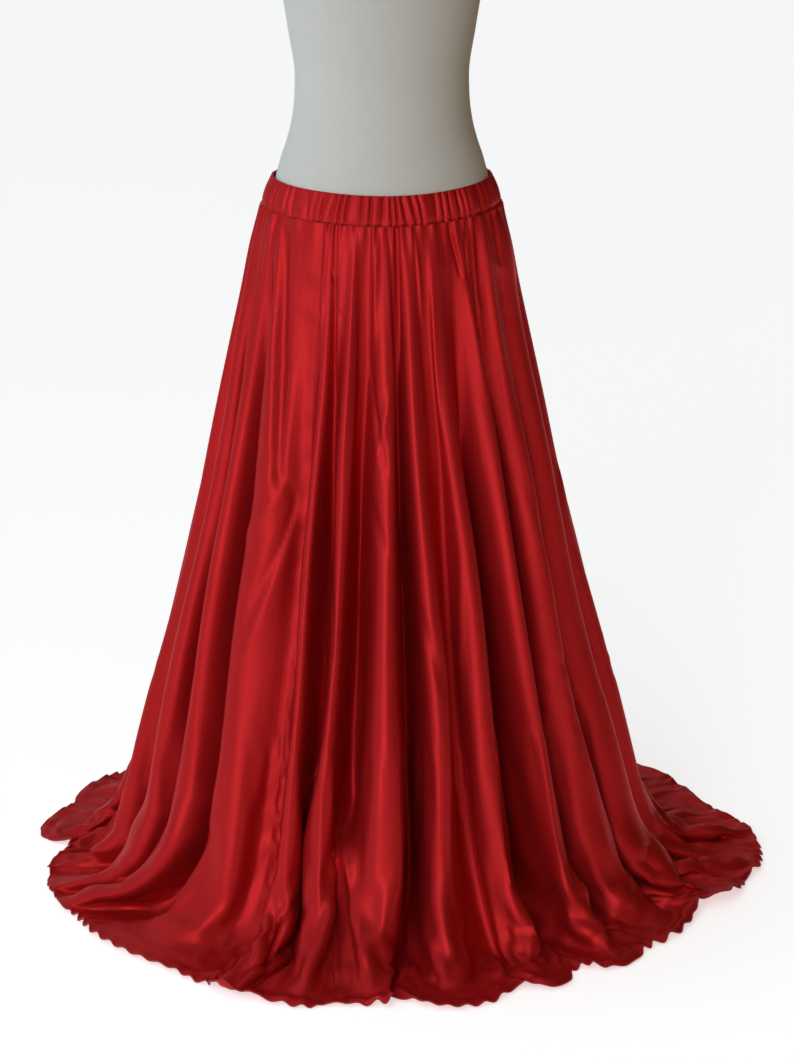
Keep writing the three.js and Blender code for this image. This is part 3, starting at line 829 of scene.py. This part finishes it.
def waistband(material):
    turn = 2 * np.pi * np.arange(BAND_COLUMNS) / BAND_COLUMNS
    insets = np.linspace(0, 1, BAND_TOP_STEPS)
    rows = [band_point(turn, share) for share in BAND_SHARES]
    rows += [band_point(turn, 1.0, inset) for inset in insets[1:-1]]
    rows += [band_point(turn, share, 1.0) for share in BAND_SHARES[::-1]]
    points = np.stack(rows)
    high = len(points)
    faces = ring_faces(high, BAND_COLUMNS)
    run = np.stack(np.broadcast_arrays(
        (turn * BAND_HALF_WIDTHS[0] * MM)[None, :],
        (np.arange(high) / high * 2 * BAND_HEIGHT * MM)[:, None],
    ), axis=-1).reshape(-1, 2)
    return mesh_object("satin_waistband", points.reshape(-1, 3), faces, material, {"run": run})


class Shade:
    """A number that varies over a surface; arithmetic on it adds Math nodes."""

    def __init__(self, nodes, socket):
        self.nodes, self.socket = nodes, socket

    def worked(self, operation, *values):
        return self.nodes.node("ShaderNodeMath", {"operation": operation}, dict(enumerate(values)))

    def __add__(self, other):
        return self.worked("ADD", self, other)

    def __mul__(self, other):
        return self.worked("MULTIPLY", self, other)

    __radd__, __rmul__ = __add__, __mul__


class Nodes:
    """A node tree whose nodes are added one by one."""

    def __init__(self, tree):
        self.tree = tree

    def put(self, socket, value):
        """Links a socket to a node's output, or gives it a value."""
        if isinstance(value, Shade):
            value = value.socket
        if isinstance(value, bpy.types.NodeSocket):
            self.tree.links.new(value, socket)
        else:
            socket.default_value = value

    def node(self, kind, settings=None, inputs=None, output=0):
        """A node of a kind, its settings first, then its sockets' values or links."""
        new = self.tree.nodes.new(kind)
        set_all(new, settings or {})
        for name, value in (inputs or {}).items():
            self.put(new.inputs[name], value)
        return Shade(self, new.outputs[output])

    def between(self, share, low, high):
        """A colour between two, by a share."""
        return self.node("ShaderNodeMix", {"data_type": "RGBA"},
                         {0: share, 6: (*low, 1), 7: (*high, 1)}, output=2)


STITCH_SPACING, STITCH_LENGTH, STITCH_THICKNESS = 4.2 * MM, 3.3 * MM, 0.7 * MM
BEAD_SEGMENTS, BEAD_RINGS = 6, 4  # a stitch is a stretched bead


def stitch_tree():
    """Geometry Nodes: even stitches along a line of points."""
    tree = bpy.data.node_groups.new("stitches", "GeometryNodeTree")
    outside = tree.interface
    outside.new_socket("Line", in_out="INPUT", socket_type="NodeSocketGeometry")
    for name in ("Spacing", "Length", "Thickness"):
        outside.new_socket(name, in_out="INPUT", socket_type="NodeSocketFloat")
    outside.new_socket("Thread", in_out="INPUT", socket_type="NodeSocketMaterial")
    outside.new_socket("Stitches", in_out="OUTPUT", socket_type="NodeSocketGeometry")

    nodes = Nodes(tree)
    given = tree.nodes.new("NodeGroupInput").outputs
    line = nodes.node("GeometryNodeMeshToCurve", inputs={"Mesh": given["Line"]})
    even = nodes.node("GeometryNodeResampleCurve", {"mode": "LENGTH"},
                      {"Curve": line, "Length": given["Spacing"]})
    tangent = nodes.node("GeometryNodeInputTangent")
    facing = nodes.node("FunctionNodeAlignRotationToVector", {"axis": "X"}, {"Vector": tangent})
    bead = nodes.node("GeometryNodeMeshUVSphere", inputs={
        "Segments": BEAD_SEGMENTS, "Rings": BEAD_RINGS, "Radius": 0.5})
    size = nodes.node("ShaderNodeCombineXYZ", inputs={
        "X": given["Length"], "Y": given["Thickness"], "Z": given["Thickness"]})
    stitch = nodes.node("GeometryNodeTransform", inputs={"Geometry": bead, "Scale": size})
    placed = nodes.node("GeometryNodeInstanceOnPoints", inputs={
        "Points": even, "Instance": stitch, "Rotation": facing})
    real = nodes.node("GeometryNodeRealizeInstances", inputs={"Geometry": placed})
    smooth = nodes.node("GeometryNodeSetShadeSmooth", inputs={"Geometry": real})
    threaded = nodes.node("GeometryNodeSetMaterial", inputs={
        "Geometry": smooth, "Material": given["Thread"]})
    nodes.put(tree.nodes.new("NodeGroupOutput").inputs["Stitches"], threaded)
    return tree


def stitched_line(name, path, material):
    """Stitches along a closed path, made a plain mesh."""
    count = len(path)
    mesh = bpy.data.meshes.new(name + "_line")
    mesh.from_pydata(path.tolist(), [(i, (i + 1) % count) for i in range(count)], [])
    line = bpy.data.objects.new(name + "_line", mesh)
    bpy.context.scene.collection.objects.link(line)
    modifier = line.modifiers.new("stitches", "NODES")
    tree = stitch_tree()
    modifier.node_group = tree
    wanted = {"Spacing": STITCH_SPACING, "Length": STITCH_LENGTH,
              "Thickness": STITCH_THICKNESS, "Thread": material}
    for item in tree.interface.items_tree:
        if item.in_out == "INPUT" and item.name in wanted:
            modifier[item.identifier] = wanted[item.name]
    evaluated = line.evaluated_get(bpy.context.evaluated_depsgraph_get())
    plain = bpy.data.meshes.new_from_object(evaluated)
    bpy.data.objects.remove(line)
    plain.name = name
    piece = bpy.data.objects.new(name, plain)
    bpy.context.scene.collection.objects.link(piece)
    return piece


# The form's torso, in millimetres: rings from its underside to the top of the neck, with
# the half-width, the depth in front of the middle and the depth behind it.
TORSO = np.array([
    (748, 112, 80, 86),
    (752, 127, 93, 99),
    (764, 138, 101, 108),
    (800, 146, 107, 115),
    (842, 148, 108.5, 117),
    (882, 143, 106, 112),
    (945, 128.5, 98, 97),
    (970, 120, 93, 90),
    (995, 113.5, 88, 84),
    (1022, 110, 84, 79.5),
    (1050, 109, 82, 77.5),
    (1112, 117.5, 87, 83.5),
    (1148, 123, 93, 89),
    (1195, 129, 102, 94),
    (1240, 134, 112, 98),
    (1275, 137, 116, 101),
    (1350, 146, 97, 102),
    (1382, 151, 85, 96),
    (1408, 145, 75, 85),
    (1428, 122, 66, 74),
    (1444, 91, 58, 64),
    (1460, 67, 52, 55),
    (1482, 56, 48, 48),
    (1512, 53, 46, 45),
], dtype=float)
TORSO_SQUARENESS = 2.05  # 2 is a plain oval
TORSO_COLUMNS, TORSO_ROWS = 128, 150


def turned_oval(name, heights, widths, fronts, backs, squareness, columns, material):
    """A solid of oval rings with its two ends closed."""
    turn = 2 * np.pi * np.arange(columns) / columns
    across, along = np.sin(turn), -np.cos(turn)
    power = 2 / squareness
    depth = np.where(along[None, :] < 0, fronts[:, None], backs[:, None])
    points = np.stack([
        np.sign(across) * np.abs(across) ** power * widths[:, None],
        np.sign(along) * np.abs(along) ** power * depth,
        np.broadcast_to(heights[:, None], depth.shape),
    ], axis=-1)
    ends = [(0, 0, heights[0]), (0, 0, heights[-1])]
    faces = ring_faces(len(heights), columns, closed=False)
    low = len(heights) * columns
    for end, edge, turned in ((low, 0, True), (low + 1, low - columns, False)):
        for i in range(columns):
            a, b = edge + i, edge + (i + 1) % columns
            faces.append((end, b, a) if turned else (end, a, b))
    return mesh_object(name, MM * np.concatenate([points.reshape(-1, 3), ends]), faces, material)


def curve_through(x, y, at):
    """A smooth curve through table values that doesn't swing past them."""
    rise = np.diff(y) / np.diff(x)
    slope = np.zeros_like(y)
    same = rise[:-1] * rise[1:] > 0
    slope[1:-1][same] = 2 * rise[:-1][same] * rise[1:][same] / (rise[:-1] + rise[1:])[same]
    slope[0], slope[-1] = rise[0], rise[-1]
    return curve(x, y, slope, at)


def torso(material):
    z = np.linspace(TORSO[0, 0], TORSO[-1, 0], TORSO_ROWS)
    width, front, back = (curve_through(TORSO[:, 0], TORSO[:, i], z) for i in (1, 2, 3))
    return turned_oval("smooth_torso", z, width, front, back, TORSO_SQUARENESS, TORSO_COLUMNS,
                       material)


# The neck cap: its share of the neck's width at heights above its seat, in millimetres
CAP_DOME = ((0.985, 0), (1, 1), (1, 11), (0.985, 12.6), (0.94, 13.6), (0.8, 14.8), (0.6, 15.4),
            (0.3, 15.9), (0.05, 16))
CAP_SEAT = 0.3
CAP_COLUMNS = 96


def neck_cap(material):
    reach, height = np.array(CAP_DOME, dtype=float).T
    foot, width, front, back = TORSO[-1]
    return turned_oval("neck_cap_turned", foot + CAP_SEAT + height, width * reach, front * reach,
                       back * reach, 2.0, CAP_COLUMNS, material)


class Finish(Nodes):
    """A material, with the textures that the finishes share."""

    def __init__(self, name):
        self.material = bpy.data.materials.new(name)
        self.material.use_nodes = True
        super().__init__(self.material.node_tree)
        self.shader = self.tree.nodes["Principled BSDF"]

    def surface(self, **inputs):
        """Sets the shader's own sockets and returns the material."""
        for name, value in inputs.items():
            self.put(self.shader.inputs[name.replace("_", " ").title()], value)
        return self.material

    def map(self, layer, scale=(1, 1, 1)):
        """A UV map, or the object's own coordinates, stretched."""
        if layer == "object":
            source = self.node("ShaderNodeTexCoord", output="Object")
        else:
            source = self.node("ShaderNodeUVMap", {"uv_map": layer})
        return self.node("ShaderNodeMapping", inputs={"Vector": source, "Scale": scale})

    def noise(self, vector, scale, detail=3.0, roughness=0.5):
        return self.node("ShaderNodeTexNoise", inputs={
            "Vector": vector, "Scale": scale, "Detail": detail, "Roughness": roughness})

    def bands(self, vector, scale, distortion=0.0):
        return self.node("ShaderNodeTexWave", {"bands_direction": "X"}, {
            "Vector": vector, "Scale": scale, "Distortion": distortion})

    def bump(self, height, distance, strength=1.0, under=None):
        inputs = {"Height": height, "Distance": distance, "Strength": strength}
        if under is not None:
            inputs["Normal"] = under
        return self.node("ShaderNodeBump", inputs=inputs)


WAVE_PER_METRE = 2 * math.pi / 20  # scale of a Wave Texture with one band in a metre
THREAD_SPACING = 0.0004  # of the satin's weave, in metres
KNIT_SPACING = 0.0011
HEM_WRAPS = 700  # close stitches in a metre of the rolled hem


def satin_weave(finish, layer, under):
    """The satin's threads over a coarser bump, and its gloss, which dyed threads tint red."""
    finish.surface(specular_tint=(1.0, 0.35, 0.35, 1))
    finish.shader.inputs["Specular IOR Level"].default_value = 0.3
    threads = finish.bands(finish.map(layer), WAVE_PER_METRE / THREAD_SPACING)
    return finish.bump(threads, 0.00005, 0.4, under)


def satin(name):
    """Red satin: soft gloss, fine weave, faint streaks along the threads."""
    finish = Finish(name)
    cloud = finish.noise(finish.map("object"), 7.0, 4.0)
    streak = finish.noise(finish.map("run", (6, 1.3, 1)), 3.0, 4.0, 0.55)
    slub = finish.noise(finish.map("run", (60, 5, 1)), 2.0, 2.0)
    tone = cloud * 0.6 + streak * 0.4
    color = finish.between(tone, (0.35, 0.0085, 0.0098), (0.56, 0.0170, 0.0195))
    soft = finish.bump(streak * 0.4 + cloud * 0.6, 0.0025, 0.35)
    fine = finish.bump(slub, 0.00012, 0.4, soft)
    return finish.surface(base_color=color, roughness=0.35 + streak * 0.10 + slub * 0.05,
                          metallic=0.55, normal=satin_weave(finish, "cut", fine))


def casing_satin():
    """The same satin, gathered on the elastic, with fine puckers across."""
    finish = Finish("gathered_satin")
    cloud = finish.noise(finish.map("object"), 9.0, 4.0)
    pucker = finish.noise(finish.map("run", (190, 40, 1)), 1.0, 3.0)
    tone = cloud * 0.6 + pucker * 0.4
    color = finish.between(tone, (0.35, 0.0088, 0.0100), (0.56, 0.0180, 0.0205))
    fine = finish.bump(pucker, 0.0009, 0.7)
    return finish.surface(base_color=color, roughness=0.37 + pucker * 0.10, metallic=0.52,
                          normal=satin_weave(finish, "run", fine))


def thread(name, wraps=None):
    """Red sewing thread; wraps are the close stitches in a metre of it, if it is wrapped."""
    finish = Finish(name)
    fuzz = finish.noise(finish.map("object"), 900.0, 2.0)
    color = finish.between(fuzz, (0.34, 0.008, 0.010), (0.52, 0.017, 0.020))
    if wraps:
        height = finish.bands(finish.map("run"), WAVE_PER_METRE * wraps, 1.0)
        normal = finish.bump(height, 0.0005, 0.8)
    else:
        normal = finish.bump(fuzz, 0.0001, 0.5)
    return finish.surface(base_color=color, roughness=0.55 + fuzz * 0.15, normal=normal)


def form_cover():
    """Off-white stretched cover: matt, a little uneven, with a fine knit."""
    finish = Finish("form_cover")
    cloud = finish.noise(finish.map("object"), 3.5, 5.0, 0.6)
    speck = finish.noise(finish.map("object"), 160.0, 2.0)
    color = finish.between(cloud * 0.7 + speck * 0.3, (0.58, 0.57, 0.52), (0.71, 0.705, 0.665))
    knit = finish.bands(finish.map("object", (1, 1, 0.4)), WAVE_PER_METRE / KNIT_SPACING, 2.0)
    soft = finish.bump(cloud, 0.0012, 0.25)
    fine = finish.bump(knit * 0.5 + speck * 0.5, 0.00012, 0.5, soft)
    return finish.surface(base_color=color, roughness=0.62 + cloud * 0.12, normal=fine)


def pale_wood():
    """Varnished beech: long grain with darker growth lines."""
    finish = Finish("varnished_beech")
    grain = finish.noise(finish.map("object", (14, 90, 14)), 3.0, 6.0, 0.6)
    rings = finish.bands(finish.map("object", (1, 0.12, 1)), 6.0, 5.0)
    color = finish.between(grain * 0.6 + rings * 0.4, (0.42, 0.25, 0.11), (0.66, 0.46, 0.25))
    normal = finish.bump(grain, 0.0003, 0.4)
    finish.surface(coat_weight=0.35)
    return finish.surface(base_color=color, roughness=0.34 + grain * 0.2, normal=normal)


def brushed_steel():
    """Steel with fine rubbing marks and a little wear."""
    finish = Finish("brushed_steel")
    rubbed = finish.noise(finish.map("object", (6, 6, 400)), 2.0, 4.0, 0.65)
    worn = finish.noise(finish.map("object"), 14.0, 5.0, 0.6)
    color = finish.between(worn, (0.26, 0.265, 0.27), (0.45, 0.45, 0.46))
    return finish.surface(base_color=color, roughness=0.26 + rubbed * 0.16 + worn * 0.10,
                          metallic=1.0, normal=finish.bump(rubbed, 0.0001, 0.4))


PAPER_GLOW = 0.56  # lifts the paper towards the photograph's white


def studio_paper():
    """The plain pale floor."""
    finish = Finish("studio_paper")
    cloud = finish.noise(finish.map("object"), 0.8, 2.0)
    color = finish.between(cloud, (0.90, 0.90, 0.90), (0.93, 0.93, 0.93))
    return finish.surface(base_color=color, roughness=0.9, emission_color=(1, 1, 1, 1),
                          emission_strength=PAPER_GLOW)


SATIN = satin("red_satin")
SEWING_THREAD = thread("sewing_thread")
HEM_THREAD = thread("hem_thread", HEM_WRAPS)


def finish_piece(piece, slot, *nodes):
    """Fixes a piece to the root body and hides the solids that it stands for; slot is not used."""
    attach(piece, "root")
    if nodes:
        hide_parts(*nodes)


finish_piece(rolled_hem(HEM_THREAD), "satin")
finish_piece(waistband(casing_satin()), "satin", "waistband")
stitch_path = band_point(np.linspace(0, 2 * np.pi, 2 * BAND_COLUMNS, endpoint=False),
                         BAND_STITCH_SHARE)
finish_piece(stitched_line("casing_stitches", stitch_path, SEWING_THREAD), "satin")

for (panel_name, folds), first in zip(PANEL_FOLDS.items(), PANEL_STARTS):
    piece = skirt_panel(panel_name.replace("skirt_panel", "satin"), first, len(folds), SATIN)
    finish_piece(piece, "satin", panel_name)

finish_piece(torso(form_cover()), "form_cover", "form_torso")
finish_piece(neck_cap(pale_wood()), "wood", "form_neck_cap")
STEEL = brushed_steel()
for node in ("form_pole", "form_base"):
    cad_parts[node].data.materials.clear()
    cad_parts[node].data.materials.append(STEEL)


STUDIO_REACH, STUDIO_HEIGHT, STUDIO_SIDES = 12.0, 9.0, 96
FLOOR_REACH = STUDIO_REACH * 1.2


def stage_paper():
    """The plain pale floor, and the same paper standing all round it."""
    paper = studio_paper()
    r = FLOOR_REACH
    corners = np.array([(-r, -r, 0), (r, -r, 0), (r, r, 0), (-r, r, 0)])
    floor = mesh_object("studio_floor", corners, [(0, 1, 2, 3)], paper)
    turn = 2 * np.pi * np.arange(STUDIO_SIDES) / STUDIO_SIDES
    ring = np.stack([np.sin(turn), -np.cos(turn)], axis=-1) * STUDIO_REACH
    points = np.concatenate([np.insert(ring, 2, z, axis=1) for z in (0.0, STUDIO_HEIGHT)])
    faces = ring_faces(2, STUDIO_SIDES, closed=False, turned=True)
    wall = mesh_object("studio_backdrop", points, faces, paper)
    wall.visible_glossy = wall.visible_shadow = wall.visible_transmission = False
    for piece in (floor, wall):
        piece.visible_diffuse = False  # the paper throws no light back on the skirt


def area_light(name, location, target, size, power, color):
    data = bpy.data.lights.new(name, "AREA")
    data.shape = "RECTANGLE"
    data.size, data.size_y = size
    data.energy = power
    data.color = color
    lamp = bpy.data.objects.new(name, data)
    lamp.location = location
    lamp.visible_camera = False
    ahead = Vector(target) - Vector(location)
    lamp.rotation_euler = ahead.to_track_quat("-Z", "Y").to_euler()
    bpy.context.scene.collection.objects.link(lamp)


# The room round the skirt: bright on one side and dim and warm on the other
DARK_AZIMUTH = math.radians(75)
DARK_SIDE = (math.sin(DARK_AZIMUTH), -math.cos(DARK_AZIMUTH), 0.0)
DIMS_FROM, DIMS_TO = -0.45, 0.5  # where the light changes, as the cosine from the dark side
BRIGHT_COLOR, DIM_COLOR = (0.86, 0.93, 1.0), (0.13, 0.07, 0.01)
ROOM_STRENGTH = 0.75


def studio_light():
    """A bright room on the viewer's left that turns dim and warm on the right."""
    world = bpy.data.worlds.new("studio")
    bpy.context.scene.world = world
    world.use_nodes = True
    room = Nodes(world.node_tree)
    toward = room.node("ShaderNodeTexCoord", output="Generated")
    toward = room.node("ShaderNodeVectorMath", {"operation": "DOT_PRODUCT"},
                       {0: toward, 1: DARK_SIDE}, output="Value")
    side = room.node("ShaderNodeMapRange", {"interpolation_type": "SMOOTHSTEP"},
                     {"Value": toward, "From Min": DIMS_FROM, "From Max": DIMS_TO})
    background = room.tree.nodes["Background"]
    room.put(background.inputs["Color"], room.between(side, BRIGHT_COLOR, DIM_COLOR))
    room.put(background.inputs["Strength"], ROOM_STRENGTH)


stage_paper()
area_light("window_left", (-1.5, -3.25, 2.0), (0, 0, 0.6), (1.6, 2.2), 45, (0.93, 0.97, 1.0))
area_light("lamp_right", (1.8, -3.4, 1.4), (0, 0, 0.5), (0.8, 1.4), 6, (1.0, 0.68, 0.35))
studio_light()
bpy.context.scene.view_settings.view_transform = "Standard"
